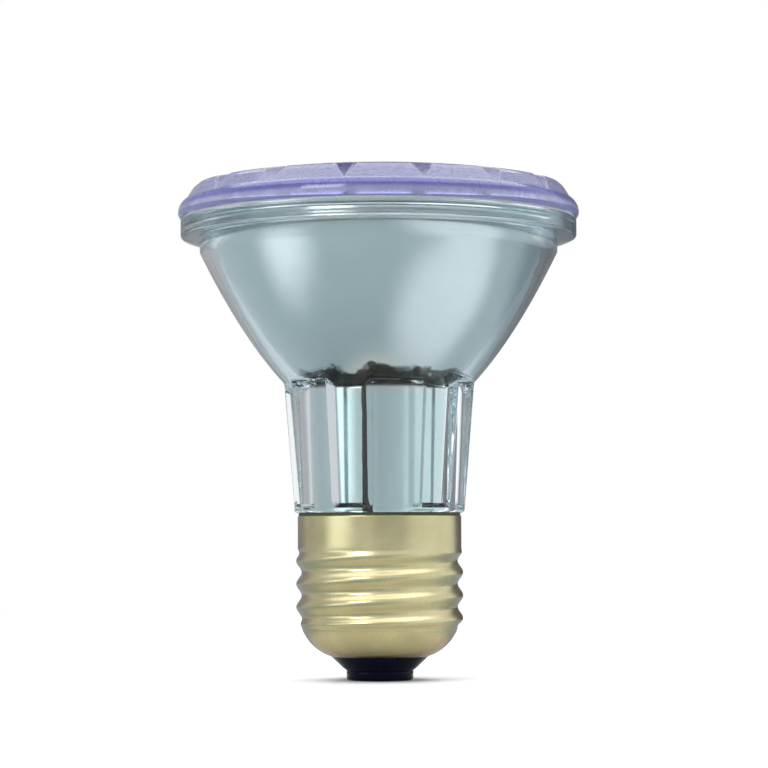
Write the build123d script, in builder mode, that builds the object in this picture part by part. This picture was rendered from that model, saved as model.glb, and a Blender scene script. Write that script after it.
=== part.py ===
from build123d import *
import os
from math import cos, radians, sin, sqrt

os.makedirs("parts", exist_ok=True)

# A reflector lamp 63.5 mm across with a medium Edison screw base, in millimetres.
# Z runs up the axis from the flat of the centre contact, and the front faces -Y.

# Fits
fit = 0.05
bore_fit = 0.03
wire_fit = 0.09
rim_fit = 0.065

# Centre contact and insulator
contact_radius = 4.4
contact_sheet = 0.35
dimple_radius = 2.4
dimple_rise = 0.7
dimple_floor = 0.4
eyelet_hole = 0.6
lip_wall = 0.8
lip_height = 1.3
lip_round = 0.3
insulator_drop = 3.65
insulator_bore = 1.6
insulator_fill = 3.35

# Screw shell, rolled from thin sheet
sheet = 0.35
cup_hole = 7.75
cup_height = 4.25
cup_inset = 0.9
cup_bulge = 0.69
crest_radius = 13.15
thread_depth = 0.85
thread_pitch = 3.629
thread_run = 12.8
thread_fade = 1.5
left_crest = 7.1
sections_per_turn = 8
skirt_inset = 0.25
skirt_height = 5.0

# Leads in the base and the ferrules that carry them
centre_wire = 0.3
side_wire = 0.16
solder_radius = 1.45
solder_sink = 0.45
solder_over = 0.3
cement_inset = 0.15
lead_x = 2.9
pin_radius = 0.5
pin_tail = 0.4
ferrule_wall = 0.67
ferrule_tail = 0.7
ferrule_flange = 0.7
ferrule_head = 0.4

# Reflector glass
spigot_length = 13.15
spigot_wall = 2.85
floor_rise = -2.55
floor_thickness = 3.4
neck_overhang = 0.5
neck_taper = 0.0809
neck_overrun = 1.5
foot_ring = 0.7
foot_round = 0.5
rib_count = 6
rib_first = -79.0
rib_width = 32.0
rib_flank = 5.0
rib_depth = 1.0
rib_round = 0.45
vertex_rise = 12.4
glass_at_vertex = 2.71
bowl_height = 30.95
bowl_band = 2.25
bowl_flare = 0.1
well_top_radius = 11.1
well_foot_radius = 10.5
well_round = 1.5
flange_inset = 0.4
flange_ledge = 2.95
flange_thickness = 2.8
flange_land = 3.16
flange_round = 0.5
line_drop = 1.0
line_depth = 0.18

# Lens and the ring that bonds it
seal_thickness = 0.3
seal_inset = 0.3
lens_radius = 31.75
lens_seat_inset = 0.1
lens_wall_lean = 0.5
lens_wall_rise = 1.6
lens_inside_rise = 4.4
bead_rise = 0.9
rim_inset = 0.9
rim_rise = 2.75
pad_foot_inset = 1.25
pad_foot_rise = 2.95
pad_top_inset = 2.55
pad_top_rise = 5.1
pad_round = 0.5
pad_length = 6.0
pad_count = 16
pad_first = -99.4
dome_rise = 7.7
notch_slope = 1.05
notch_rise = 0.9
notch_drop = 0.65

# Halogen capsule
pinch_lift = 6.2
pinch_margin = 1.9
pinch_thickness = 3.2
pinch_round = 1.2
foil_width = 2.4
foil_thickness = 0.1
foil_height = 4.0
foil_margin = 1.2
foil_cover = 0.8
tube_radius = 4.9
tube_wall = 1.0
tube_length = 18.6
tube_round = 2.3
tube_base = 1.8
tip_radius = 0.9
tip_height = 1.8
inner_wire = 0.22
coil_radius = 0.75
coil_wire = 0.14
coil_length = 7.4
coil_turns = 8
coil_lead_gap = 0.02
short_bend = 2.6
short_reach = 1.0
long_reach = 1.9

# Base, worked up from the contact
lip_radius = contact_radius + fit + lip_wall
root_radius = crest_radius - thread_depth
skirt_radius = crest_radius - skirt_inset
cup_rim = crest_radius - cup_inset
cup_foot = insulator_drop
cup_top = cup_foot + cup_height
thread_top = cup_top + thread_run
thread_mean = (crest_radius + root_radius) / 2
thread_half = thread_depth / 2
crest_left = cup_top + left_crest
shell_top = thread_top + skirt_height
insulator_top = cup_foot + insulator_fill
eyelet_top = dimple_rise + contact_sheet

# Reflector, worked up from the shell and in from the lens
spigot_radius = root_radius - sheet - 2 * (side_wire + wire_fit)
spigot_bore = spigot_radius - spigot_wall
neck_foot = shell_top + 2 * (side_wire + rim_fit)
neck_foot_radius = skirt_radius + neck_overhang
spigot_foot = neck_foot - spigot_length
floor_under = neck_foot + floor_rise
floor_top = floor_under + floor_thickness
outer_vertex = neck_foot + vertex_rise
inner_vertex = outer_vertex + glass_at_vertex
flange_under = outer_vertex + bowl_height
flange_top = flange_under + flange_thickness
flange_line = flange_top - line_drop
flange_radius = lens_radius - flange_inset
bowl_top_radius = flange_radius - flange_ledge
bowl_rim = bowl_top_radius - bowl_flare
mouth_radius = flange_radius - flange_land
outer_focal = bowl_rim**2 / (bowl_height - bowl_band) / 4
inner_focal = mouth_radius**2 / (flange_top - inner_vertex) / 4
focus = inner_vertex + inner_focal

# Neck top, a little above the height where the taper meets the bowl
taper_b = 2 * neck_foot_radius * neck_taper - 4 * outer_focal
taper_c = neck_foot_radius**2 + 4 * outer_focal * vertex_rise
neck_run = (-taper_b - sqrt(taper_b**2 - 4 * neck_taper**2 * taper_c)) / (2 * neck_taper**2)
neck_top = neck_foot + neck_run + neck_overrun

# Lens, worked up from the seal
lens_seat = flange_top + seal_thickness
lens_seat_radius = flange_radius - lens_seat_inset
pad_top_radius = lens_radius - pad_top_inset

# Capsule, worked up from the glass floor and set out round the focus
ferrule_bore = pin_radius + bore_fit
ferrule_radius = ferrule_bore + ferrule_wall
ferrule_foot = floor_under - ferrule_tail
pin_foot = ferrule_foot - pin_tail
pinch_foot = floor_top + pinch_lift
pinch_width = 2 * (lead_x + pinch_margin)
foil_foot = pinch_foot + foil_margin
foil_top = foil_foot + foil_height
tube_foot = foil_top + foil_cover
tube_top = tube_foot + tube_length
coil_foot = focus - coil_length / 2
coil_head = focus + coil_length / 2
back = 90.0


def parabola(focal, vertex, low, high):
    """Control points of the parabola r^2 = 4 focal (z - vertex) between two radii."""
    quad = 4 * focal
    return [
        (low, vertex + low**2 / quad),
        ((low + high) / 2, vertex + low * high / quad),
        (high, vertex + high**2 / quad),
    ]


def smooth(t):
    """A ramp from 0 to 1 that starts and ends level."""
    t = min(max(t, 0.0), 1.0)
    return t * t * (3 - 2 * t)


def cup_ends(inset):
    """Where the round bottom of the shell starts and ends, moved inwards by inset."""
    return (cup_rim - inset, cup_top), (cup_hole, cup_foot + inset)


def thread_circles():
    """Height, centre and radius of the circles that the rolled thread runs through.

    A level cut through a rounded single-start thread is nearly a circle set off its axis.
    The offset is half the thread depth and turns once for each pitch of height.
    """
    steps = round((thread_top - cup_top) / thread_pitch * sections_per_turn)
    for i in range(steps + 1):
        z = cup_top + (thread_top - cup_top) * i / steps
        into_top = smooth((thread_top - z) / thread_fade)
        into_foot = smooth((z - cup_top) / thread_fade)
        radius = thread_mean
        radius += (skirt_radius - thread_mean) * (1 - into_top)
        radius += (cup_rim - thread_mean) * (1 - into_foot)
        reach = thread_half * into_top * into_foot
        turn = radians(180 + 360 * (z - crest_left) / thread_pitch)
        yield z, (reach * cos(turn), reach * sin(turn)), radius


def save(part, name):
    """Names one piece and writes it out."""
    part.label = name
    export_step(part, f"parts/{name}.step")


# Lens: a pressed cap with a ring of raised pads parted by V notches
with BuildPart() as lens:
    with BuildSketch(Plane.XZ):
        with BuildLine():
            seat = (lens_seat_radius, lens_seat)
            bead = (lens_radius, lens_seat + bead_rise)
            rim = (lens_radius - rim_inset, lens_seat + rim_rise)
            pad_foot = (lens_radius - pad_foot_inset, lens_seat + pad_foot_rise)
            pad_top = (pad_top_radius, lens_seat + pad_top_rise)
            crown = (0, lens_seat + dome_rise)
            inside = (0, lens_seat + lens_inside_rise)
            shoulder = (mouth_radius - lens_wall_lean, lens_seat + lens_wall_rise)
            mouth = (mouth_radius, lens_seat)
            TangentArc(bead, seat, tangent=(0, -1))
            TangentArc(bead, rim, tangent=(0, 1))
            Polyline(rim, pad_foot, pad_top)
            TangentArc(crown, pad_top, tangent=(1, 0))
            Line(crown, inside)
            TangentArc(inside, shoulder, tangent=(1, 0))
            Polyline(shoulder, mouth, seat)
        make_face()
    revolve(axis=Axis.Z)
    fillet(lens.edges().filter_by(GeomType.CIRCLE).sort_by_distance((pad_top[0], 0, pad_top[1]))[0],
           pad_round)
    for end, rise in (
        (pad_top_radius - pad_length, pad_top_rise + notch_rise),
        (lens_radius, pad_foot_rise - notch_drop),
    ):
        height = dome_rise + 1 - rise
        half = notch_slope * height
        with BuildSketch(Plane(origin=(end, 0, lens_seat + rise), x_dir=(0, 1, 0), z_dir=(1, 0, 0))):
            Polygon((0, 0), (half, height), (-half, height), align=None)
    notch = loft(mode=Mode.PRIVATE)
    with PolarLocations(0, pad_count, pad_first):
        add(notch, mode=Mode.SUBTRACT)
save(lens.part, "lens")

# Seal: the thin bonded seam, a little inside the glass on both sides
with BuildPart() as lens_seal:
    with BuildSketch(Plane.XY.offset(flange_top)):
        Circle(flange_radius - seal_inset)
        Circle(mouth_radius + seal_inset, mode=Mode.SUBTRACT)
    extrude(amount=seal_thickness)
save(lens_seal.part, "lens_seal")

# Reflector: bowl and flange turned, neck lofted with its ribs, then the inside cut out
with BuildPart() as reflector:
    with BuildSketch(Plane.XZ):
        with BuildLine():
            wall = parabola(outer_focal, outer_vertex, spigot_radius, bowl_rim)
            Bezier(*wall)
            Polyline(
                wall[2],
                (bowl_top_radius, flange_under),
                (flange_radius, flange_under),
                (flange_radius, flange_line - line_depth),
                (flange_radius - line_depth, flange_line),
                (flange_radius, flange_line + line_depth),
                (flange_radius, flange_top),
                (0, flange_top),
                (0, wall[0][1]),
                wall[0],
            )
        make_face()
    revolve(axis=Axis.Z)
    rims = reflector.edges().filter_by(GeomType.CIRCLE)
    fillet(rims.filter_by(lambda e: abs(e.radius - flange_radius) < 0.01
                          and abs(e.center().Z - flange_under) < 0.01), flange_round)
    for height in (neck_foot, neck_top):
        radius = neck_foot_radius + neck_taper * (height - neck_foot)
        with BuildSketch(Plane.XY.offset(height)) as neck:
            Circle(radius - rib_depth)
            for k in range(rib_count):
                middle = rib_first + 360 / rib_count * k
                edge_1 = radians(middle - rib_width / 2)
                edge_2 = radians(middle + rib_width / 2)
                foot_1 = radians(middle - rib_width / 2 - rib_flank)
                foot_2 = radians(middle + rib_width / 2 + rib_flank)
                low = radius - rib_depth
                with BuildLine():
                    rib_arc = ThreePointArc(
                        (radius * cos(edge_1), radius * sin(edge_1)),
                        (radius * cos(radians(middle)), radius * sin(radians(middle))),
                        (radius * cos(edge_2), radius * sin(edge_2)),
                    )
                    Polyline(
                        rib_arc @ 1,
                        (low * cos(foot_2), low * sin(foot_2)),
                        (0, 0),
                        (low * cos(foot_1), low * sin(foot_1)),
                        rib_arc @ 0,
                    )
                make_face()
            corners = neck.vertices().filter_by(
                lambda v: sqrt(v.X**2 + v.Y**2) > low - 0.01
            )
            fillet(corners, rib_round)
    loft()
    with BuildSketch(Plane.XY.offset(neck_foot)):
        Circle(neck_foot_radius)
    extrude(amount=foot_ring)
    fillet(reflector.edges().filter_by(GeomType.CIRCLE).filter_by(
        lambda e: abs(e.center().Z - neck_foot) < 0.01), foot_round)
    with BuildSketch(Plane.XY.offset(spigot_foot)):
        Circle(spigot_radius)
    extrude(until=Until.NEXT)
    with BuildSketch(Plane.XZ):
        with BuildLine():
            inner = parabola(inner_focal, inner_vertex, well_top_radius, mouth_radius)
            Bezier(*inner)
            Polyline(inner[2], (0, flange_top), (0, floor_top))
            FilletPolyline(
                (0, floor_top), (well_foot_radius, floor_top), inner[0], radius=well_round
            )
        make_face()
    revolve(axis=Axis.Z, mode=Mode.SUBTRACT)
    with BuildSketch(Plane.XY.offset(spigot_foot)):
        Circle(spigot_bore)
    extrude(amount=floor_under - spigot_foot, mode=Mode.SUBTRACT)
    with BuildSketch(Plane.XY.offset(floor_under)):
        with Locations((lead_x, 0), (-lead_x, 0)):
            Circle(ferrule_radius + bore_fit)
    extrude(amount=floor_top - floor_under, mode=Mode.SUBTRACT)
save(reflector.part, "reflector")

# Screw shell: sheet brass with a rolled thread, lofted through circles set off the axis
with BuildPart() as screw_shell:
    for inset, kind in ((0, Mode.ADD), (sheet, Mode.SUBTRACT)):
        for z, middle, radius in thread_circles():
            with BuildSketch(Plane.XY.offset(z)):
                with Locations(middle):
                    Circle(radius - inset)
        loft(ruled=True, mode=kind)
    with BuildSketch(Plane.XZ):
        with BuildLine():
            SagittaArc(*cup_ends(0), cup_bulge)
            Line(cup_ends(0)[1], cup_ends(sheet)[1])
            SagittaArc(*cup_ends(sheet), cup_bulge)
            Line(cup_ends(sheet)[0], cup_ends(0)[0])
        make_face()
    revolve(axis=Axis.Z)
    with BuildSketch(Plane.XY.offset(thread_top)):
        Circle(skirt_radius)
        Circle(skirt_radius - sheet, mode=Mode.SUBTRACT)
    extrude(amount=shell_top - thread_top)
save(screw_shell.part, "screw_shell")

# Insulator: dark glass that fills the cup and ends in a cone and a lip
with BuildPart() as insulator:
    with BuildSketch(Plane.XZ):
        with BuildLine():
            cup = cup_ends(sheet + fit)
            SagittaArc(*cup, cup_bulge)
            Polyline(
                cup[1],
                (cup_hole - fit, cup_foot + sheet + fit),
                (cup_hole - fit, cup_foot),
                (lip_radius, lip_height),
                (lip_radius, lip_round),
                (lip_radius - lip_round, 0),
                (contact_radius + fit, 0),
                (contact_radius + fit, contact_sheet),
                (dimple_radius, contact_sheet),
                (insulator_bore, eyelet_top),
                (insulator_bore, cup_top),
                cup[0],
            )
        make_face()
    revolve(axis=Axis.Z)
    split(bisect_by=Plane.XY.offset(insulator_top), keep=Keep.BOTTOM)
save(insulator.part, "insulator")

# Centre contact: a stamped eyelet with a dimple for the solder
with BuildPart() as centre_contact:
    with BuildSketch(Plane.XZ):
        with BuildLine():
            Polyline(
                (contact_radius, 0),
                (dimple_radius, 0),
                (eyelet_hole + dimple_floor, dimple_rise),
                (eyelet_hole, dimple_rise),
                (eyelet_hole, eyelet_top),
                (eyelet_hole + dimple_floor - contact_sheet * 0.4, eyelet_top),
                (dimple_radius - contact_sheet * 0.4, contact_sheet),
                (contact_radius, contact_sheet),
                close=True,
            )
        make_face()
    revolve(axis=Axis.Z)
save(centre_contact.part, "centre_contact")

# Contact solder: fills the dimple and the hole of the eyelet
with BuildPart() as contact_solder:
    with BuildSketch(Plane.XZ):
        with BuildLine():
            dimple_span = dimple_radius - eyelet_hole - dimple_floor
            solder_edge = (dimple_radius - dimple_span * 0.25, dimple_rise * 0.25)
            TangentArc((0, 0), solder_edge, tangent=(1, 0))
            Polyline(
                solder_edge,
                (eyelet_hole + dimple_floor, dimple_rise),
                (eyelet_hole, dimple_rise),
                (eyelet_hole, eyelet_top),
                (0, eyelet_top),
                (0, 0),
            )
        make_face()
    revolve(axis=Axis.Z)
save(contact_solder.part, "contact_solder")

# Basing cement: fills the skirt round the spigot and wells up over the rim, slotted for the side lead
with BuildPart() as basing_cement:
    for foot, top, reach in (
        (thread_top, shell_top, skirt_radius - sheet),
        (shell_top, neck_foot, skirt_radius - cement_inset),
    ):
        with BuildSketch(Plane.XY.offset(foot)):
            Circle(reach)
            Circle(spigot_radius, mode=Mode.SUBTRACT)
            with PolarLocations(spigot_radius, 1, back):
                Rectangle(4 * (skirt_radius - spigot_radius), 8 * side_wire, mode=Mode.SUBTRACT)
        extrude(amount=top - foot)
save(basing_cement.part, "basing_cement")

# Wires of the capsule: foils, outer pins and inner leads
foils = []
pins = []
for side, name in ((-1, "left"), (1, "right")):
    with BuildPart() as foil:
        with BuildSketch(Plane.XY.offset(foil_foot)):
            with Locations((side * lead_x, 0)):
                Rectangle(foil_width, foil_thickness)
        extrude(amount=foil_height)
    save(foil.part, f"seal_foil_{name}")
    foils.append(foil.part)
    with BuildPart() as pin:
        with BuildSketch(Plane.XY.offset(pin_foot)):
            with Locations((side * lead_x, 0)):
                Circle(pin_radius)
        extrude(amount=foil_foot - pin_foot)
    save(pin.part, f"lead_pin_{name}")
    pins.append(pin.part)
    with BuildPart() as ferrule:
        with BuildSketch(Plane.XY.offset(ferrule_foot)):
            with Locations((side * lead_x, 0)):
                Circle(ferrule_radius)
        extrude(amount=floor_top - ferrule_foot)
        with BuildSketch(Plane.XY.offset(floor_top)):
            with Locations((side * lead_x, 0)):
                Circle(ferrule_radius + ferrule_flange)
        extrude(amount=ferrule_head)
        with BuildSketch(Plane.XY.offset(ferrule_foot)):
            with Locations((side * lead_x, 0)):
                Circle(ferrule_bore)
        extrude(amount=floor_top + ferrule_head - ferrule_foot, mode=Mode.SUBTRACT)
    save(ferrule.part, f"ferrule_{name}")

with BuildPart() as inner_lead_short:
    with BuildLine():
        Polyline(
            (-lead_x, 0, foil_top),
            (-lead_x, 0, coil_foot - short_bend),
            (-coil_radius, 0, coil_foot - short_reach),
            (-coil_radius, 0, coil_foot - coil_wire - coil_lead_gap),
        )
    with BuildSketch(Plane.XY.offset(foil_top)):
        with Locations((-lead_x, 0)):
            Circle(inner_wire)
    sweep(transition=Transition.RIGHT)
save(inner_lead_short.part, "inner_lead_short")

with BuildPart() as inner_lead_long:
    with BuildLine():
        Polyline(
            (lead_x, 0, foil_top),
            (lead_x, 0, coil_head + long_reach),
            (-coil_radius, 0, coil_head + long_reach),
            (-coil_radius, 0, coil_head + coil_wire + coil_lead_gap),
        )
    with BuildSketch(Plane.XY.offset(foil_top)):
        with Locations((lead_x, 0)):
            Circle(inner_wire)
    sweep(transition=Transition.RIGHT)
save(inner_lead_long.part, "inner_lead_long")

# Filament: one coil on the axis at the focus of the bowl
with BuildPart() as filament:
    with BuildLine(Plane(origin=(0, 0, coil_foot), x_dir=(-1, 0, 0), z_dir=(0, 0, 1))) as coil:
        Helix(coil_length / coil_turns, coil_length, coil_radius)
    with BuildSketch(Plane(origin=coil.line @ 0, z_dir=coil.line % 0)):
        RegularPolygon(coil_wire, 6)
    sweep(is_frenet=True)
save(filament.part, "filament")

# Capsule: quartz tube with a domed top and tip, closed below by a flat pinch round the leads
with BuildPart() as capsule_envelope:
    with BuildSketch(Plane.XZ):
        with BuildLine():
            FilletPolyline(
                (0, tube_foot),
                (tube_radius, tube_foot),
                (tube_radius, tube_top),
                (tip_radius, tube_top),
                radius=tube_round,
            )
            Polyline(
                (tip_radius, tube_top),
                (tip_radius * 0.6, tube_top + tip_height / 2),
                (tip_radius * 0.2, tube_top + tip_height),
                (0, tube_top + tip_height),
                (0, tube_foot),
            )
        make_face()
    revolve(axis=Axis.Z)
    with BuildSketch(Plane.XY.offset(pinch_foot)):
        RectangleRounded(pinch_width, pinch_thickness, pinch_round)
    extrude(amount=tube_foot + tube_round - pinch_foot)
    with BuildSketch(Plane.XZ):
        with BuildLine():
            hollow = tube_radius - tube_wall
            FilletPolyline(
                (0, tube_foot + tube_base),
                (hollow, tube_foot + tube_base),
                (hollow, tube_top - tube_wall),
                (0, tube_top - tube_wall),
                radius=tube_round - tube_wall / 2,
            )
            Line((0, tube_top - tube_wall), (0, tube_foot + tube_base))
        make_face()
    revolve(axis=Axis.Z, mode=Mode.SUBTRACT)
    for piece in (*foils, *pins, inner_lead_short.part, inner_lead_long.part):
        add(piece, mode=Mode.SUBTRACT)
save(capsule_envelope.part, "capsule_envelope")

# Leads in the base: one to the centre contact, one out over the rim of the shell at the back
with BuildPart() as centre_lead:
    with BuildLine():
        Polyline(
            (0, 0, eyelet_top),
            (0, 0, insulator_top + 1.5),
            (-lead_x, 0, pin_foot - 4),
            (-lead_x, 0, pin_foot),
        )
    with BuildSketch(Plane.XY.offset(eyelet_top)):
        Circle(centre_wire)
    sweep(transition=Transition.RIGHT)
save(centre_lead.part, "centre_lead")

with BuildPart() as side_lead:
    with BuildLine():
        beside_spigot = spigot_radius + side_wire + wire_fit
        over_rim = shell_top + side_wire + rim_fit
        in_solder = skirt_radius + 2 * side_wire
        under_spigot = spigot_foot - 4 * side_wire
        Polyline(
            (lead_x, 0, pin_foot),
            (lead_x, 0, spigot_foot + spigot_length / 2),
            (0, spigot_bore * 0.7, under_spigot),
            (0, beside_spigot, under_spigot),
            (0, beside_spigot, over_rim),
            (0, in_solder, over_rim),
            (0, in_solder, shell_top - solder_radius / 2),
        )
    with BuildSketch(Plane.XY.offset(pin_foot)):
        with Locations((lead_x, 0)):
            Circle(side_wire)
    sweep(transition=Transition.RIGHT)
save(side_lead.part, "side_lead")

with BuildPart() as side_solder:
    with Locations((0, skirt_radius - solder_sink, shell_top + solder_over - solder_radius)):
        Sphere(solder_radius)
    with BuildSketch(Plane.XY):
        Circle(skirt_radius)
    extrude(amount=2 * shell_top, mode=Mode.SUBTRACT)
    add(side_lead.part, mode=Mode.SUBTRACT)
save(side_solder.part, "side_solder")
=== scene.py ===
from math import radians

import bpy
import numpy as np
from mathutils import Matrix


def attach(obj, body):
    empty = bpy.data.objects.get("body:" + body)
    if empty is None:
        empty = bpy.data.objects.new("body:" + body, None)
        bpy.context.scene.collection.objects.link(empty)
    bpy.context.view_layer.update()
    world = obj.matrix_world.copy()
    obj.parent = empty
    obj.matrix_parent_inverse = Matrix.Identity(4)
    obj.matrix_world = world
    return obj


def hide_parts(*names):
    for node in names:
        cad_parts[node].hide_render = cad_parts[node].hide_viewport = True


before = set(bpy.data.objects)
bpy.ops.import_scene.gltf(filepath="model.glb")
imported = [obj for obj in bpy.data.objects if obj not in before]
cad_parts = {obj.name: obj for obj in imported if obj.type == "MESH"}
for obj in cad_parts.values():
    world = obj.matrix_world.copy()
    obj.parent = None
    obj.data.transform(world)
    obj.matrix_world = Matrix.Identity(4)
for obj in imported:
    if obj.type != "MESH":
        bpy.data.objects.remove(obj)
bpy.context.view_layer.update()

# Sizes of the lamp in millimetres, the same as in the solids but for the groove, and a millimetre in metres
mm = 0.001

# Screw base
sheet, fit = 0.35, 0.05
cup_hole, cup_foot = 7.75, 3.65
cup_rim, cup_top, cup_bulge = 12.25, 7.9, 0.69
crest_radius, thread_depth, thread_pitch = 13.15, 0.85, 3.629
thread_top, thread_fade, crest_left = 20.7, 1.5, 15.0
skirt_radius, skirt_foot, shell_top = 12.9, 21.1, 25.7
contact_radius, contact_sheet = 4.4, 0.35
dimple_radius, eyelet_top, insulator_bore = 2.4, 1.05, 1.6
insulator_top, insulator_top_radius = 7.0, 11.4
lip_radius, lip_height, lip_round, lip_fillet = 5.25, 1.3, 0.3, 0.35
lip_straight, cone_foot_radius, cone_foot = 1.15, 5.45, 1.52

# Reflector glass
spigot_radius, spigot_bore, spigot_foot = 11.45, 8.6, 13.0
floor_under, floor_top = 23.6, 27.0
neck_foot, neck_foot_radius, neck_taper = 26.15, 13.4, 0.0809
foot_ring, foot_round = 0.7, 0.5
rib_count, rib_first, rib_width, rib_flank, rib_depth = 6, -79.0, 32.0, 5.0, 1.0
outer_vertex, bowl_height, bowl_rim, bowl_top_radius = 38.55, 28.7, 28.3, 28.4
outer_focal = bowl_rim**2 / 4 / bowl_height
inner_vertex, mouth_radius = 41.26, 28.19
flange_under, flange_top, flange_radius, flange_round = 69.5, 72.3, 31.35, 0.5
flange_line, line_depth, chamfer_width, chamfer_height = 71.3, 0.18, 0.08, 0.12
inner_focal = mouth_radius**2 / 4 / (flange_top - inner_vertex)
well_top_radius, well_foot_radius = 11.1, 10.5

# Groove round the floor of the well, only here: it lets the mirror film reach down to the foot of the neck
groove_floor, groove_round, boss_foot_radius, boss_radius = 25.4, 0.6, 7.6, 7.0

# Mirror film
film_gap, film_thickness, film_end, film_rim, film_bend = 0.01, 0.02, 5.0, 0.4, 0.02
silver_top = flange_top - 0.04
silver_radius = np.sqrt(4 * inner_focal * (silver_top - inner_vertex))

# Lens
lens_seat, lens_radius, wetting = 72.6, 31.75, 0.01
bead_rise, bead_low_radius, bead_high_radius = 0.9, 1.06, 2.35
rim_rise, rim_radius, seat_radius = 2.75, 30.85, 31.19
pad_foot_radius, pad_foot_rise = 30.5, 2.95
pad_edge_radius, pad_edge_rise = 29.4, 4.77
pad_top_radius, pad_top_rise, pad_inner = 29.2, 5.1, 23.2
pad_round, pad_round_radius, pad_round_rise = 0.42, 28.86, 4.62
pad_count, pad_first = 16, -99.4
notch_slope, notch_start, notch_fall = 1.05, 0.9, 1.55
dome_rise, dome_edge = 7.7, 28.9
lens_inside_rise, hollow_radius, hollow_foot = 4.4, 27.69, 1.6

# Coil of the capsule
coil_radius, coil_wire, coil_length, coil_turns = 0.75, 0.14, 7.4, 8
focus = inner_vertex + inner_focal

# Radius of the last ring round a closed middle, widths of softened corners, and the angle of a crease
pole = 0.8
notch_blend, rib_blend, neck_blend = 0.1, 0.15, 0.25
crease = radians(38)


def linear(hexcode):
    """The linear colour of an sRGB hex code."""
    srgb = np.array([int(hexcode[i:i + 2], 16) for i in (1, 3, 5)]) / 255
    low = srgb / 12.92
    high = ((srgb + 0.055) / 1.055) ** 2.4
    return (*np.where(srgb <= 0.04045, low, high).tolist(), 1.0)


def ramp(t):
    """Runs from 0 to 1 with level ends: t squared times 3 minus 2 t."""
    t = np.clip(t, 0.0, 1.0)
    return t * t * (3 - 2 * t)


def soft_max(a, b, width):
    """The larger of two heights, with the corner between them rounded over the given width."""
    h = np.clip(0.5 + 0.5 * (a - b) / width, 0.0, 1.0)
    return b + (a - b) * h + width * h * (1 - h)


def skin(name, grid, loop=False, inner_rows=0):
    """A piece from a grid of points in millimetres.

    Rows run along a profile and columns go round, the last column joining the first.
    With loop the last row joins the first too, and without it each end row is closed on its middle.
    The first inner_rows rows, with the middle that closes them, take the second finish.
    """
    rows, cols, _ = grid.shape
    spots = grid.reshape(-1, 3)
    ring = np.arange(rows * cols).reshape(rows, cols)
    beside = np.roll(ring, -1, axis=1)
    above = np.roll(ring, -1, axis=0)
    above_beside = np.roll(beside, -1, axis=0)
    last = rows if loop else rows - 1
    faces = np.stack((ring, beside, above_beside, above), axis=-1)[:last].reshape(-1, 4).tolist()
    if not loop:
        spots = np.vstack((spots, grid[0].mean(axis=0), grid[-1].mean(axis=0)))
        first_middle = np.full(cols, rows * cols)
        faces += np.stack((first_middle, beside[0], ring[0]), axis=-1).tolist()
        faces += np.stack((first_middle + 1, ring[-1], beside[-1]), axis=-1).tolist()
    mesh = bpy.data.meshes.new(name)
    mesh.from_pydata(spots * mm, [], faces)
    mesh.polygons.foreach_set("use_smooth", np.ones(len(mesh.polygons), dtype=bool))
    mesh.set_sharp_from_angle(angle=crease)
    if inner_rows:
        second = np.zeros(len(faces), dtype=np.int32)
        second[:inner_rows * cols] = 1
        if not loop:
            second[-2 * cols:-cols] = 1
        mesh.polygons.foreach_set("material_index", second)
    mesh.update()
    piece = bpy.data.objects.new(name, mesh)
    bpy.context.scene.collection.objects.link(piece)
    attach(piece, "root")
    return piece


def evenly(cols):
    """Angles of columns spaced evenly round the axis."""
    return np.linspace(0, 2 * np.pi, cols, endpoint=False)


def turned(profile, turn):
    """A profile of radius and height turned about the axis: radius and height at every row and angle."""
    return np.repeat(profile[:, :1], turn.size, axis=1), np.repeat(profile[:, 1:], turn.size, axis=1)


def placed(radius, height, turn):
    """Points of radius, height and angle as x, y and z."""
    return np.stack((radius * np.cos(turn), radius * np.sin(turn), height), axis=-1)


def run(*points, steps=1):
    """Points along straight runs, each run cut into equal steps, the very last point left out."""
    points = np.array(points, dtype=float)
    share = np.arange(steps) / steps
    return (points[:-1, None] + (points[1:] - points[:-1])[:, None] * share[:, None]).reshape(-1, 2)


def bend(middle, radius, start, end, steps):
    """Points on a circle of radius and height between two angles in degrees."""
    angle = np.radians(np.linspace(start, end, steps))
    return np.stack((middle[0] + radius * np.cos(angle), middle[1] + radius * np.sin(angle)), axis=-1)


def through(start, end, bulge, steps):
    """A circle arc from start to end whose middle stands off the chord by bulge, to the right of it."""
    start, end = np.array(start, dtype=float), np.array(end, dtype=float)
    chord = end - start
    length = np.hypot(*chord)
    side = np.array((chord[1], -chord[0])) / length
    radius = length**2 / 8 / bulge + bulge / 2
    middle = (start + end) / 2 - side * (radius - bulge)
    half = np.arcsin(length / 2 / radius)
    angle = np.linspace(-half, half, steps)
    along = chord / length
    return middle + radius * (np.cos(angle)[:, None] * side + np.sin(angle)[:, None] * along)


def paraboloid(focal, vertex, low, high, steps):
    """Points on the curve radius squared = 4 focal (height - vertex), evenly spaced in radius."""
    radius = np.linspace(low, high, steps)
    return np.stack((radius, vertex + radius**2 / 4 / focal), axis=-1)


def cap(radius, top, foot_radius, drop):
    """Points on a sphere about the axis that falls by drop from its top to the foot radius."""
    sphere = (foot_radius**2 + drop**2) / 2 / drop
    return np.stack((radius, top - sphere + np.sqrt(sphere**2 - radius**2)), axis=-1)


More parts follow.
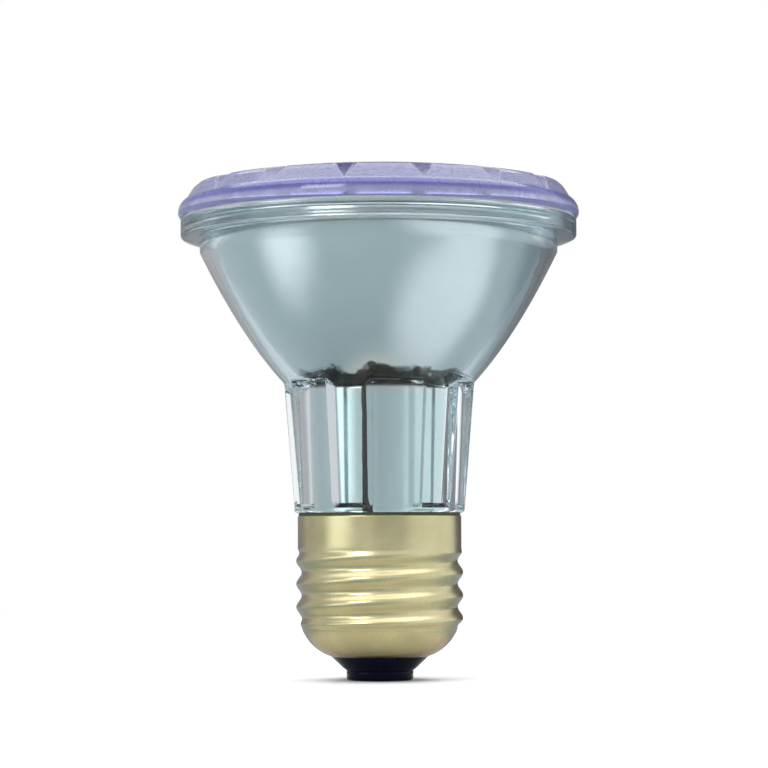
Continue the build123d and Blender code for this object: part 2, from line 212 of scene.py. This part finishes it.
def lens_grid():
    """Pressed lens: a turned cap whose top is lowered to V notches, and the strength of the shade painted into its
    notches.

    Along each notch the floor falls evenly from the inner end of the pads to the edge, and its
    flanks rise from the floor at one over the slope, so the top is the lower of cap and notch.
    The painted shade is 0 outside the notches, and in them it rises from 0 to 1 from the foot of the pads to their top.
    """
    seat, bead = lens_seat - wetting, lens_seat + bead_rise
    low = bend((lens_radius - bead_low_radius, bead), bead_low_radius, -58, 0, 7)
    high = bend((lens_radius - bead_high_radius, bead), bead_high_radius, 0, 51.9, 12)[1:]
    close_end, wide_start = 19, 18.4
    across = np.concatenate((np.linspace(dome_edge, close_end, 40), np.linspace(wide_start, pole, 16)))
    under = np.linspace(pole, hollow_radius, 16)
    lower = np.concatenate((
        cap(under, lens_seat + lens_inside_rise, hollow_radius, lens_inside_rise - hollow_foot),
        run((hollow_radius, lens_seat + hollow_foot), (mouth_radius, seat), (seat_radius, seat), steps=3)[1:],
        low,
        high[:-1],
    ))
    upper = np.concatenate((
        high[-1:],
        run((rim_radius, lens_seat + rim_rise), (pad_foot_radius, lens_seat + pad_foot_rise), steps=3)[1:],
        run((pad_foot_radius, lens_seat + pad_foot_rise), (pad_edge_radius, lens_seat + pad_edge_rise), steps=14),
        bend((pad_round_radius, lens_seat + pad_round_rise), pad_round, 24, 78, 6),
        cap(across, lens_seat + dome_rise, pad_top_radius, dome_rise - pad_top_rise),
    ))
    # Columns crowd towards each notch: a sector is cut evenly, then pulled to its middle
    share, pull = np.linspace(-1, 1, 32, endpoint=False), 0.68
    sector = 360 / pad_count
    off = sector / 2 * ((1 - pull) * share + pull * share**3)
    turn = np.radians((pad_first + sector * np.arange(pad_count)[:, None] + off).ravel())
    away = np.tile(np.radians(off), pad_count)
    radius, height = turned(np.concatenate((lower, upper)), turn)
    ahead, aside = radius * np.cos(away), np.abs(radius * np.sin(away))
    fall = (ahead - pad_inner) / (lens_radius - pad_inner)
    pad_height = pad_top_rise - pad_foot_rise
    floor = lens_seat + pad_top_rise + notch_start - (pad_height + notch_fall) * fall
    far_above, least_depth = 1000.0, 0.02
    notch = np.where(ahead > pad_inner - 1, floor + aside / notch_slope, far_above)
    lowered = -soft_max(-height, -notch, notch_blend)
    top = np.arange(len(height))[:, None] >= len(lower)
    cut = top & (lowered < height - least_depth)
    height = np.where(top & (lowered < height), lowered, height)
    climb = (height - lens_seat - pad_foot_rise) / pad_height
    return placed(radius, height, turn), cut * np.clip(climb, 0.0, 1.0)


def rib_share(turn):
    """1 on a rib of the neck and 0 between ribs, with a straight flank and softened corners."""
    sector = 360 / rib_count
    off = np.abs((np.degrees(turn) - rib_first + sector / 2) % sector - sector / 2)
    slope = (rib_width / 2 + rib_flank - off) / rib_flank
    return -soft_max(-soft_max(slope, 0.0, rib_blend), -1.0, rib_blend)


def rib_turns():
    """Angles of the columns of the glass, close together on the flanks of the ribs."""
    sector, half, margin = 360 / rib_count, rib_width / 2, 0.8
    groove = sector - half - rib_flank
    marks = (-half + margin, half - margin, half + rib_flank + margin, groove - margin, groove + rib_flank + margin)
    counts = (24, 16, 12, 16)
    one = np.concatenate([np.linspace(a, b, n, endpoint=False) for a, b, n in zip(marks, marks[1:], counts)])
    return np.radians((rib_first + sector * np.arange(rib_count)[:, None] + one).ravel())


def well_side():
    """The side of the well from the foot of the bowl down to the groove, round its corner, and over to the boss."""
    top = inner_vertex + well_top_radius**2 / 4 / inner_focal
    corner_radius, corner_shift = well_foot_radius - groove_round, 0.02
    corner = bend((corner_radius + corner_shift, groove_floor + groove_round), groove_round, -1, -90, 9)
    groove = run((corner_radius, groove_floor), (boss_foot_radius, groove_floor), (boss_radius, floor_top), steps=2)
    return np.concatenate((run((well_top_radius, top), tuple(corner[0]), steps=6)[1:], corner, groove[1:]))


def glass_grid():
    """Reflector glass: floor, spigot, ribbed neck, bowl and flange as one turned profile.

    Below the bowl the radius is the larger of a ribbed taper and the bowl's own paraboloid.
    """
    meet_low, meet_high, meet_radius = 38.5, 50.5, 18.4
    neck_heights = np.concatenate((
        neck_foot + foot_round * (1 - np.cos(np.radians(np.linspace(10, 90, 7)))),
        np.linspace(neck_foot + foot_ring, meet_low - 0.5, 16),
        np.linspace(meet_low, meet_high, 46),
    ))
    foot = np.concatenate((
        run((pole, floor_under), (spigot_bore, floor_under), steps=4),
        run((spigot_bore, floor_under), (spigot_bore, spigot_foot), (spigot_radius, spigot_foot),
            (spigot_radius, neck_foot), (neck_foot_radius - foot_round, neck_foot), steps=2),
    ))
    line_low, line_high = flange_line - line_depth, flange_line + line_depth
    chamfer_foot = flange_top - chamfer_height
    profile = np.concatenate((
        foot,
        np.stack((np.full(len(neck_heights), neck_foot_radius), neck_heights), axis=-1),
        paraboloid(outer_focal, outer_vertex, meet_radius, bowl_rim, 34),
        run((bowl_rim, outer_vertex + bowl_height), (bowl_top_radius, flange_under), steps=3)[1:],
        run((bowl_top_radius, flange_under), (flange_radius - flange_round, flange_under), steps=4),
        bend((flange_radius - flange_round, flange_under + flange_round), flange_round, -90, 0, 7),
        run((flange_radius, flange_under + flange_round), (flange_radius, line_low), steps=3)[1:],
        run((flange_radius, line_low), (flange_radius - line_depth, flange_line), (flange_radius, line_high),
            (flange_radius, chamfer_foot), steps=2),
        run((flange_radius, chamfer_foot), (flange_radius - chamfer_width, silver_top),
            (silver_radius, silver_top), steps=2),
        paraboloid(inner_focal, inner_vertex, silver_radius, well_top_radius, 36),
        well_side(),
        run((boss_radius, floor_top), (pole, floor_top), steps=5),
    ))
    turn = rib_turns()
    radius, height = turned(profile, turn)
    neck_rows = slice(len(foot), len(foot) + len(neck_heights))
    rise = height[neck_rows] - neck_foot
    taper = neck_foot_radius + neck_taper * rise
    ribbed = taper - rib_depth * (1 - rib_share(turn))
    inset = foot_round - np.sqrt(np.maximum(foot_round**2 - np.maximum(foot_round - rise, 0) ** 2, 0))
    neck = np.where(rise < foot_ring, taper - inset, ribbed)
    dish = np.sqrt(np.maximum(4 * outer_focal * (height[neck_rows] - outer_vertex), 0.01))
    radius[neck_rows] = soft_max(neck, dish, neck_blend)
    return placed(radius, height, turn)


def film_grid():
    """Mirror film: the top of the flange and the inside of bowl and well, moved off the glass by the gap,
    and again by its thickness."""
    inside = np.concatenate((
        run((flange_radius - film_rim, silver_top), (silver_radius + film_bend, silver_top), steps=6),
        paraboloid(inner_focal, inner_vertex, silver_radius - film_bend, well_top_radius, 60),
        well_side(),
        run((boss_radius, floor_top), (film_end, floor_top), steps=2),
        np.array([(film_end, floor_top)]),
    ))
    step = np.gradient(inside, axis=0)
    step /= np.hypot(step[:, 0], step[:, 1])[:, None]
    inward = np.stack((step[:, 1], -step[:, 0]), axis=-1)
    near = inside + inward * film_gap
    far = inside + inward * (film_gap + film_thickness)
    turn = evenly(240)
    return placed(*turned(np.concatenate((near[::-1], far)), turn), turn)


def thread_radius(height, turn):
    """Rolled thread: a mean radius plus half the depth times the cosine of angle against height over pitch,
    faded out into the cup below and the skirt above."""
    into_top = ramp((thread_top - height) / thread_fade)
    into_foot = ramp((height - cup_top) / thread_fade)
    mean = crest_radius - thread_depth / 2
    middle = mean + (skirt_radius - mean) * (1 - into_top) + (cup_rim - mean) * (1 - into_foot)
    phase = turn - np.pi - 2 * np.pi * (height - crest_left) / thread_pitch
    return middle + thread_depth / 2 * into_top * into_foot * np.cos(phase)


def shell_grid():
    """Screw shell: cup, rolled thread and skirt outside, then the same wall a sheet thickness in."""
    turn = evenly(300)
    heights = np.concatenate((np.linspace(cup_top, thread_top, 90), np.linspace(skirt_foot, shell_top - sheet, 10)))
    outside, inside = heights[:, None] + 0 * turn, heights[::-2, None] + 0 * turn
    cup_out = through((cup_hole, cup_foot), (cup_rim, cup_top), cup_bulge, 16)[:-1]
    cup_in = through((cup_hole, cup_foot + sheet), (cup_rim - sheet, cup_top), cup_bulge, 12)[:-1]
    lip = bend((skirt_radius - sheet / 2, shell_top - sheet / 2), sheet / 2, 0, 180, 9)
    walls = (
        turned(cup_out, turn),
        (thread_radius(outside, turn), outside),
        turned(lip, turn),
        (thread_radius(inside, turn) - sheet, inside),
        turned(cup_in[::-1], turn),
    )
    radius, height = (np.concatenate(part) for part in zip(*walls))
    return placed(radius, height, turn)


def insulator_grid():
    """Insulator: the filling of the cup, the cone under it and the lip round the contact, turned."""
    seat_foot = cup_foot + sheet + fit
    seat = through((cup_hole, seat_foot), (cup_rim - sheet - fit, cup_top), cup_bulge, 18)
    profile = np.concatenate((
        run((insulator_bore, insulator_top), (insulator_bore, eyelet_top), (dimple_radius, contact_sheet),
            (contact_radius + fit, contact_sheet), (contact_radius + fit, 0.0), (lip_radius - lip_round, 0.0),
            steps=3),
        bend((lip_radius - lip_round, lip_round), lip_round, -90, 0, 7),
        run((lip_radius, lip_round), (lip_radius, lip_straight), steps=3)[1:],
        bend((lip_radius + lip_fillet, lip_height), lip_fillet, 205, 140, 5),
        run((cone_foot_radius, cone_foot), (cup_hole - fit, cup_foot), (cup_hole - fit, seat_foot), steps=8)[1:],
        seat[seat[:, 1] < insulator_top],
        run((insulator_top_radius, insulator_top), (insulator_bore, insulator_top), steps=3),
    ))
    turn = evenly(160)
    return placed(*turned(profile, turn), turn)


def coil_grid():
    """Filament: a ring of points carried along a helix, square to its slope."""
    along = np.linspace(0, 1, coil_turns * 40)[:, None]
    about = evenly(10)[None, :]
    angle = np.pi + 2 * np.pi * coil_turns * along
    slope = np.arctan2(coil_length, 2 * np.pi * coil_turns * coil_radius)
    radius = coil_radius + coil_wire * np.cos(about)
    up = coil_wire * np.sin(about)
    x = radius * np.cos(angle) + up * np.sin(slope) * np.sin(angle)
    y = radius * np.sin(angle) - up * np.sin(slope) * np.cos(angle)
    z = focus - coil_length / 2 + coil_length * along + up * np.cos(slope)
    return np.stack((x, y, z), axis=-1)


def fill(tree, made, settings=None, feeds=None):
    """Settings fill the properties and sockets of a node, and feeds name what feeds its sockets."""
    for key, value in (settings or {}).items():
        if isinstance(key, str) and hasattr(made, key):
            setattr(made, key, value)
        else:
            made.inputs[key].default_value = value
    for key, source in (feeds or {}).items():
        tree.links.new(source, made.inputs[key])


def node(tree, kind, settings=None, feeds=None):
    """Adds one node with its settings and links, and gives its outputs."""
    made = tree.nodes.new(kind)
    fill(tree, made, settings, feeds)
    return made.outputs


# Places of the sockets of a Mix node, which has several of each name, for colours and for numbers
colour_share, colour_from, colour_to, colour_mixed = 0, 6, 7, 2
number_share, number_from, number_to, number_mixed = 0, 2, 3, 0


def material(name):
    """A new material with only a surface shader and the coordinates of the object."""
    made = bpy.data.materials.new(name)
    made.use_nodes = True
    tree = made.node_tree
    return made, tree, tree.nodes["Principled BSDF"], node(tree, "ShaderNodeTexCoord")["Object"]


def rippled(tree, shader, where, size, low, high, strength=0.0, swelling=0.0):
    """Ripples of a size in millimetres: the roughness runs from low to high with them, and the surface swells."""
    ripple = node(tree, "ShaderNodeTexNoise", {"Scale": 1 / (size * mm), "Detail": 2.0}, {"Vector": where})["Fac"]
    spread = node(tree, "ShaderNodeMapRange", {"To Min": low, "To Max": high}, {"Value": ripple})
    fill(tree, shader, feeds={"Roughness": spread["Result"]})
    if strength:
        swell = node(tree, "ShaderNodeBump", {"Strength": strength, "Distance": swelling * mm}, {"Height": ripple})
        fill(tree, shader, feeds={"Normal": swell["Normal"]})


def mottled(tree, shader, where, size, detail, dark, light, low, high):
    """Patches of a size in millimetres: the colour runs from dark to light with them, and the roughness from low
    to high. Gives their noise and colour."""
    noise = node(tree, "ShaderNodeTexNoise", {"Scale": 1 / (size * mm), "Detail": detail}, {"Vector": where})["Fac"]
    shade = node(tree, "ShaderNodeValToRGB", feeds={"Fac": noise})["Color"]
    for stop, colour in zip(shade.node.color_ramp.elements, (dark, light)):
        stop.color = linear(colour)
    spread = node(tree, "ShaderNodeMapRange", {"To Min": low, "To Max": high}, {"Value": noise})
    fill(tree, shader, feeds={"Base Color": shade, "Roughness": spread["Result"]})
    return noise, shade


def wear(piece, *finishes):
    """Puts finishes into the material slots of a piece, in place of any that it has."""
    if piece.data.materials:
        piece.data.materials.clear()
    for finish in finishes:
        piece.data.materials.append(finish)


# Violet glass, pressed in a mould: tinted through, a little milky, with slow ripples. Its colour by height is painted
# light and shade: pale on the foot and the pads, a deep violet band round the side wall. Painted shade darkens it up
# the flanks of the notches
# The inside is stippled to spread the light: cells about 1.2 mm across
violet = []
rim_low, rim_high = 72.8, 75.8
for name, ripple_size, swelling, low, high, clear in (
    ("violet_glass_pressed", 4.0, 0.2, 0.05, 0.14, 0.84),
    ("violet_glass_stippled", 1.2, 0.3, 0.2, 0.35, 0.85),
):
    glass, tree, shader, where = material(name)
    rise = node(tree, "ShaderNodeSeparateXYZ", feeds={"Vector": where})["Z"]
    # Painted light and shade by height: pale below the side wall and on the pads above it, deep violet on the side wall
    above = node(tree, "ShaderNodeMapRange", {"From Min": rim_low * mm, "From Max": rim_high * mm}, {"Value": rise})
    shade = node(tree, "ShaderNodeValToRGB", feeds={"Fac": above["Result"]})["Color"]
    stops = shade.node.color_ramp.elements
    stops[0].color, stops[1].color = linear("#FAFBFF"), linear("#F8FAFC")
    for place, colour in ((0.34, "#F2F3FF"), (0.5, "#9CA0E6"), (0.75, "#9CA0E6")):
        stops.new(place).color = linear(colour)
    # Painted shade up the flanks of the notches: the colour goes towards a grey violet as far as the stored value notch
    # says
    notch = node(tree, "ShaderNodeAttribute", {"attribute_name": "notch"})
    notch_shaded = node(tree, "ShaderNodeMix", {"data_type": "RGBA", colour_to: linear("#8A88A2")},
                {colour_share: notch["Fac"], colour_from: shade})
    fill(tree, shader, {"Transmission Weight": clear, "IOR": 1.52}, {"Base Color": notch_shaded[colour_mixed]})
    rippled(tree, shader, where, ripple_size, low, high, 0.15, swelling)
    tint = node(tree, "ShaderNodeVolumeAbsorption", {"Color": linear("#8986ED"), "Density": 50.0})
    fill(tree, tree.nodes["Material Output"], feeds={"Volume": tint["Volume"]})
    violet.append(glass)

# Clear glass, pressed: a faint green where it is thick and slow ripples from the mould
clear_glass, tree, shader, where = material("clear_glass_pressed")
fill(tree, shader, {"Base Color": linear("#FFFFFF"), "Transmission Weight": 1.0, "IOR": 1.47})
rippled(tree, shader, where, 6.0, 0.02, 0.06, 0.1, 0.3)
tint = node(tree, "ShaderNodeVolumeAbsorption", {"Color": linear("#7CB6C3"), "Density": 11.0})
fill(tree, tree.nodes["Material Output"], feeds={"Volume": tint["Volume"]})

# Aluminium film, laid on in vacuum: a soft, cloudy mirror, bright inside, duller where it lies on the glass and
# greener down the well, with a painted dark reflection as a band of uneven height where bowl and well meet, and a
# dark strip up the well under one rib flank
film = []
well_low, well_high = 44.0, 46.0
patch_size, band_sway, strip_sway = 4.0, -9.0, 0.4
band_full, band_top, band_foot, band_foot_full = 43.7, 44.3, 45.5, 45.9
strip_middle, strip_half, strip_top = -1.5, 0.75, 46.0
for name, dark, light, down_well in (
    ("aluminium_film_vacuum_coated", "#EEF0F0", "#F6F7F7", "#F2F4F4"),
    ("aluminium_film_on_glass", "#BDC8CA", "#CBD4D5", "#BCD2D1"),
):
    metal, tree, shader, where = material(name)
    _, shade = mottled(tree, shader, where, 12.0, 4.0, dark, light, 0.16, 0.26)
    apart = node(tree, "ShaderNodeSeparateXYZ", feeds={"Vector": where})
    rise = apart["Z"]
    in_well = node(tree, "ShaderNodeMapRange", {"From Min": well_high * mm, "From Max": well_low * mm}, {"Value": rise})
    hue = node(tree, "ShaderNodeMix", {"data_type": "RGBA", colour_to: linear(down_well)},
               {colour_share: in_well["Result"], colour_from: shade})
    patch = node(tree, "ShaderNodeTexNoise", {"Scale": 1 / (patch_size * mm), "Detail": 3.0}, {"Vector": where})["Fac"]
    # Painted dark reflection: a band where bowl and well meet, its upper edge wavering with the patches
    edge = node(tree, "ShaderNodeMath", {"operation": "MULTIPLY_ADD", 1: band_sway * mm}, {0: patch, 2: rise})
    upper = node(tree, "ShaderNodeMapRange", {"From Min": band_top * mm, "From Max": band_full * mm},
                 {"Value": edge["Value"]})
    lower = node(tree, "ShaderNodeMapRange", {"From Min": band_foot * mm, "From Max": band_foot_full * mm},
                 {"Value": rise})
    painted_dark_band = node(tree, "ShaderNodeMath", {"operation": "MULTIPLY"}, {0: upper["Result"], 1: lower["Result"]})
    waver = node(tree, "ShaderNodeMath", {"operation": "MULTIPLY_ADD", 1: strip_sway * mm}, {0: patch, 2: apart["X"]})
    strip = node(tree, "ShaderNodeMath", {"operation": "COMPARE", 1: strip_middle * mm, 2: strip_half * mm},
                 {0: waver["Value"]})
    for axis, limit in (("Y", 0.0), ("Z", strip_top)):
        below = node(tree, "ShaderNodeMath", {"operation": "LESS_THAN", 1: limit * mm}, {0: apart[axis]})
        strip = node(tree, "ShaderNodeMath", {"operation": "MULTIPLY"}, {0: strip["Value"], 1: below["Value"]})
    # The painted dark band and the dark strip take the same near-black colour
    painted_band_and_dark_strip = node(tree, "ShaderNodeMath", {"operation": "MAXIMUM"}, {0: painted_dark_band["Value"], 1: strip["Value"]})
    tone = node(tree, "ShaderNodeMix", {"data_type": "RGBA", colour_to: linear("#10140A")},
                {colour_share: painted_band_and_dark_strip["Value"], colour_from: hue[colour_mixed]})
    fill(tree, shader, {"Metallic": 1.0}, {"Base Color": tone[colour_mixed]})
    film.append(metal)

# Brass sheet, rolled and lacquered: pale gold, a little cloudy, with a soft gloss and faint rolling lines round the
# shell, 3.3 mm long and a sixth of a millimetre apart
brass, tree, shader, where = material("brass_sheet_rolled")
fill(tree, shader, {"Metallic": 1.0, "Specular Tint": linear("#E6DCF4")})
mottled(tree, shader, where, 5.0, 5.0, "#B0A67A", "#DAD0A6", 0.2, 0.32)
stretch = node(tree, "ShaderNodeMapping", {"Scale": (300, 300, 6000)}, {"Vector": where})
lines = node(tree, "ShaderNodeTexNoise", {"Scale": 1.0, "Detail": 3.0}, {"Vector": stretch["Vector"]})
swell = node(tree, "ShaderNodeBump", {"Strength": 0.12, "Distance": 0.05 * mm}, {"Height": lines["Fac"]})
fill(tree, shader, feeds={"Normal": swell["Normal"]})

# Dark blue glass, pressed hot into the base: nearly black, glossy
navy_glass, tree, shader, where = material("navy_glass_pressed")
fill(tree, shader, {"IOR": 1.5, "Specular IOR Level": 0.08})
mottled(tree, shader, where, 3.0, 3.0, "#010206", "#03062C", 0.06, 0.18)

# Plain finishes of the small pieces: name, grain in millimetres, two colours, two roughnesses, metal or not
# Each is speckled and a little rough from how it was made: drawn, rolled, tinned, stamped, cured or baked
finishes = {}
for name, grain, dark, light, low, high, metal in (
    ("epoxy_seal_cured", 0.6, "#B4B6BE", "#D2D4DA", 0.45, 0.7, 0.0),
    ("tungsten_wire_drawn", 0.4, "#5C5A58", "#8C8A87", 0.3, 0.5, 1.0),
    ("molybdenum_foil_rolled", 0.6, "#8C8E92", "#B7B9BC", 0.25, 0.4, 1.0),
    ("nickel_wire_drawn", 0.6, "#A9A79F", "#CFCDC6", 0.25, 0.4, 1.0),
    ("copper_wire_tinned", 0.6, "#B9B4AA", "#D6D1C8", 0.3, 0.45, 1.0),
    ("steel_eyelet_plated", 0.8, "#9FA3A6", "#C9CCCE", 0.22, 0.4, 1.0),
    ("brass_eyelet_stamped", 1.5, "#B9A765", "#DCCF9A", 0.25, 0.42, 1.0),
    ("solder_tin_lead", 0.8, "#8F9193", "#C4C6C8", 0.3, 0.55, 1.0),
    ("basing_cement_baked", 0.5, "#3E4028", "#56573A", 0.75, 0.95, 0.0),
):
    finish, tree, shader, where = material(name)
    grit, _ = mottled(tree, shader, where, grain, 3.0, dark, light, low, high)
    swell = node(tree, "ShaderNodeBump", {"Strength": 0.2, "Distance": grain * mm / 20}, {"Height": grit})
    fill(tree, shader, {"Metallic": metal}, {"Normal": swell["Normal"]})
    finishes[name] = finish

# Fused quartz, blown and pinched: water clear, with its gloss a little uneven
quartz, tree, shader, where = material("quartz_glass_fused")
fill(tree, shader, {"Base Color": linear("#FFFFFF"), "Transmission Weight": 1.0, "IOR": 1.458})
rippled(tree, shader, where, 3.0, 0.0, 0.05)

# Finer pieces that stand for solids
lens_points, lens_notch_shade = lens_grid()
for name, grid, loop, inner_rows, solid, slot, finish in (
    ("lens_pressed", lens_points, False, 16, "lens", "violet_glass", violet),
    ("reflector_glass", glass_grid(), False, 0, "reflector", "silvered_glass", [clear_glass]),
    ("shell_rolled", shell_grid(), True, 0, "screw_shell", "brass", [brass]),
    ("insulator_glass", insulator_grid(), True, 0, "insulator", "dark_glass", [navy_glass]),
    ("filament_coil", coil_grid(), False, 0, "filament", "tungsten", [finishes["tungsten_wire_drawn"]]),
):
    piece = skin(name, grid, loop, inner_rows)
    wear(piece, *finish)
    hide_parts(solid)

# The strength of the shade painted into the notches is kept on the lens as the value notch, with 0 for its two middles
notch = bpy.data.objects["lens_pressed"].data.attributes.new("notch", "FLOAT", "POINT")
notch.data.foreach_set("value", np.append(lens_notch_shade.ravel(), (0, 0)).astype(np.float32))

# The mirror film is a piece of its own: the half of its rows that lies on the glass has the second finish
silvering = film_grid()
mirror = skin("mirror_film", silvering, True, len(silvering) // 2)
wear(mirror, *film)

# Solids that stay, each with its finish: the facets of their curved faces are joined and shaded smooth
joined = bpy.data.node_groups.new("joined_smooth", "GeometryNodeTree")
joined.interface.new_socket("Geometry", in_out="INPUT", socket_type="NodeSocketGeometry")
joined.interface.new_socket("Geometry", in_out="OUTPUT", socket_type="NodeSocketGeometry")
raw = node(joined, "NodeGroupInput")[0]
merged = node(joined, "GeometryNodeMergeByDistance", {"Distance": 1e-6}, {"Geometry": raw})
smooth = node(joined, "GeometryNodeSetShadeSmooth", feeds={"Geometry": merged["Geometry"]})
fold = node(joined, "GeometryNodeInputMeshEdgeAngle")["Unsigned Angle"]
crisp = node(joined, "FunctionNodeCompare", {"operation": "GREATER_THAN", 1: crease}, {0: fold})
edged = node(joined, "GeometryNodeSetShadeSmooth", {"domain": "EDGE", "Shade Smooth": False},
             {"Geometry": smooth["Geometry"], "Selection": crisp["Result"]})
node(joined, "NodeGroupOutput", feeds={"Geometry": edged["Geometry"]})
for solid, finish in (
    ("lens_seal", finishes["epoxy_seal_cured"]),
    ("capsule_envelope", quartz),
    ("inner_lead_short", finishes["molybdenum_foil_rolled"]),
    ("inner_lead_long", finishes["molybdenum_foil_rolled"]),
    ("seal_foil_left", finishes["molybdenum_foil_rolled"]),
    ("seal_foil_right", finishes["molybdenum_foil_rolled"]),
    ("lead_pin_left", finishes["nickel_wire_drawn"]),
    ("lead_pin_right", finishes["nickel_wire_drawn"]),
    ("ferrule_left", finishes["steel_eyelet_plated"]),
    ("ferrule_right", finishes["steel_eyelet_plated"]),
    ("centre_lead", finishes["copper_wire_tinned"]),
    ("side_lead", finishes["copper_wire_tinned"]),
    ("basing_cement", finishes["basing_cement_baked"]),
    ("centre_contact", finishes["brass_eyelet_stamped"]),
    ("contact_solder", finishes["solder_tin_lead"]),
    ("side_solder", finishes["solder_tin_lead"]),
):
    wear(bpy.data.objects[solid], finish)
    bpy.data.objects[solid].modifiers.new("joined_smooth", "NODES").node_group = joined

# Floor, in metres and just under the lamp
floor_mesh = bpy.data.meshes.new("floor")
near, far, side, low = -0.22, 0.35, 0.25, -0.0001
floor_mesh.from_pydata([(-side, near, low), (side, near, low), (side, far, low), (-side, far, low)],
                       [], [(0, 1, 2, 3)])
floor = bpy.data.objects.new("floor", floor_mesh)
bpy.context.scene.collection.objects.link(floor)

# White paper: the camera sees it white, and the lamp mirrors it as a grey table with painted light and shade:
# painted shade darker to the back and soft painted pools of light
paper, tree, shader, where = material("white_paper_matt")
# Painted shade for all but camera rays: the table darkens towards the back right
slant = node(tree, "ShaderNodeVectorMath", {"operation": "DOT_PRODUCT", 1: (0.45, 0.9, 0.0)}, {0: where})
painted_back_shade = node(tree, "ShaderNodeMapRange", {"interpolation_type": "SMOOTHSTEP", "From Min": 0.09, "From Max": 0.22},
            {"Value": slant["Value"]})
colour = node(tree, "ShaderNodeValToRGB", feeds={"Fac": painted_back_shade["Result"]})["Color"]
for stop, shade in zip(colour.node.color_ramp.elements, ("#9DA9AB", "#6E797F")):
    stop.color = linear(shade)
# Painted pools of light for all but camera rays: soft round spots at the front, the last just under the lamp
for spot, inner, outer, painted_pool_colour in (
    ((0.05, -0.035, 0), 0.022, 0.052, "#D6DCDE"),
    ((0.095, -0.035, 0), 0.025, 0.06, "#D6DCDE"),
    ((-0.115, -0.05, 0), 0.015, 0.065, "#E6ECEE"),
    ((0, -0.004, 0), 0.016, 0.032, "#D9D6CE"),
):
    away = node(tree, "ShaderNodeVectorMath", {"operation": "DISTANCE", 1: spot}, {0: where})
    painted_pool_share = node(tree, "ShaderNodeMapRange", {"interpolation_type": "SMOOTHSTEP", "From Min": outer, "From Max": inner},
               {"Value": away["Value"]})
    colour = node(tree, "ShaderNodeMix", {"data_type": "RGBA", colour_to: linear(painted_pool_colour)},
                  {colour_share: painted_pool_share["Result"], colour_from: colour})[colour_mixed]
seen = node(tree, "ShaderNodeLightPath")
tone = node(tree, "ShaderNodeMix", {"data_type": "RGBA", colour_to: linear("#F6F6F6")},
            {colour_share: seen["Is Camera Ray"], colour_from: colour})
fill(tree, shader, {"Roughness": 0.9, "Specular IOR Level": 0.0}, {"Base Color": tone[colour_mixed]})
wear(floor, paper)

# A white sweep is seen past the lamp and straight through its glass, and the lamp mirrors a dimmer room:
# lighter to the right, dark at the back, with a window at the left and a dim patch in front
world = bpy.data.worlds.new("soft_room")
world.use_nodes = True
tree = world.node_tree
sweep = tree.nodes["Background"]
fill(tree, sweep, {"Color": linear("#FFFFFF"), "Strength": 1.0})
heading = node(tree, "ShaderNodeTexCoord")["Generated"]
apart = node(tree, "ShaderNodeSeparateXYZ", feeds={"Vector": heading})
sides = node(tree, "ShaderNodeMapRange", {"From Min": -1.0, "To Min": 0.72, "To Max": 1.25}, {"Value": apart["X"]})
behind = node(tree, "ShaderNodeMapRange", {"interpolation_type": "SMOOTHSTEP", "From Min": -0.2, "From Max": 0.15,
                                           "To Min": 0.45, "To Max": 0.18}, {"Value": apart["X"]})
back = node(tree, "ShaderNodeMapRange", {"interpolation_type": "SMOOTHSTEP", "From Min": 0.55, "From Max": 0.75},
            {"Value": apart["Y"]})
level = node(tree, "ShaderNodeMix", feeds={number_share: back["Result"], number_from: sides["Result"],
                                           number_to: behind["Result"]})[number_mixed]
for toward, ends in (
    ((-0.85, -0.51, 0.1), {"From Min": 0.9, "To Max": 1.3}),
    ((0.28, -0.96, 0.0), {"From Min": 0.89, "From Max": 0.95, "To Max": -0.34}),
):
    facing = node(tree, "ShaderNodeVectorMath", {"operation": "DOT_PRODUCT", 1: toward}, {0: heading})
    change = node(tree, "ShaderNodeMapRange", {"interpolation_type": "SMOOTHSTEP", **ends}, {"Value": facing["Value"]})
    level = node(tree, "ShaderNodeMath", {"operation": "ADD"}, {0: level, 1: change["Result"]})["Value"]
room = node(tree, "ShaderNodeBackground", {"Color": linear("#F2F6FA")}, {"Strength": level})
seen = node(tree, "ShaderNodeLightPath")
turns = node(tree, "ShaderNodeMath", {"operation": "ADD"}, {0: seen["Glossy Depth"], 1: seen["Diffuse Depth"]})
direct = node(tree, "ShaderNodeMath", {"operation": "LESS_THAN", 1: 0.5}, {0: turns["Value"]})
pick = node(tree, "ShaderNodeMixShader",
            feeds={0: direct["Value"], 1: room["Background"], 2: sweep.outputs["Background"]})
fill(tree, tree.nodes["World Output"], feeds={"Surface": pick["Shader"]})
bpy.context.scene.world = world

# Wide light from above, and a soft box at the left front
sky = bpy.data.lights.new("sky_panel", "SUN")
sky.energy = 2.4
sky.angle = radians(80)
panel = bpy.data.objects.new("sky_panel", sky)
bpy.context.scene.collection.objects.link(panel)
panel.rotation_euler = (radians(-12), 0, 0)

lamp = bpy.data.lights.new("soft_box_left", "AREA")
lamp.size = 0.25
lamp.energy = 1.1
box = bpy.data.objects.new("soft_box_left", lamp)
bpy.context.scene.collection.objects.link(box)
box_place, box_aim = np.array((-0.3, -0.45, 0.4)), np.array((0, 0, 0.03))
box.location = box_place
away = box_place - box_aim
box.rotation_euler = (np.arctan2(np.hypot(away[0], away[1]), away[2]), 0, np.arctan2(away[0], -away[1]))

# Camera at the height of the screw base, looking a little up
camera = bpy.data.cameras.new("camera")
camera.lens = 125.2
camera.sensor_width = 36.0
eye = bpy.data.objects.new("camera", camera)
bpy.context.scene.collection.objects.link(eye)
eye.location = (0.0007, -0.422, 0.0219)
eye.rotation_euler = (radians(93.34), radians(0.2), 0.0)
bpy.context.scene.camera = eye
bpy.context.scene.view_settings.view_transform = "Standard"

# Light goes many times to and fro in the thick silvered glass
paths = bpy.context.scene.cycles
paths.max_bounces = paths.glossy_bounces = paths.transmission_bounces = 32
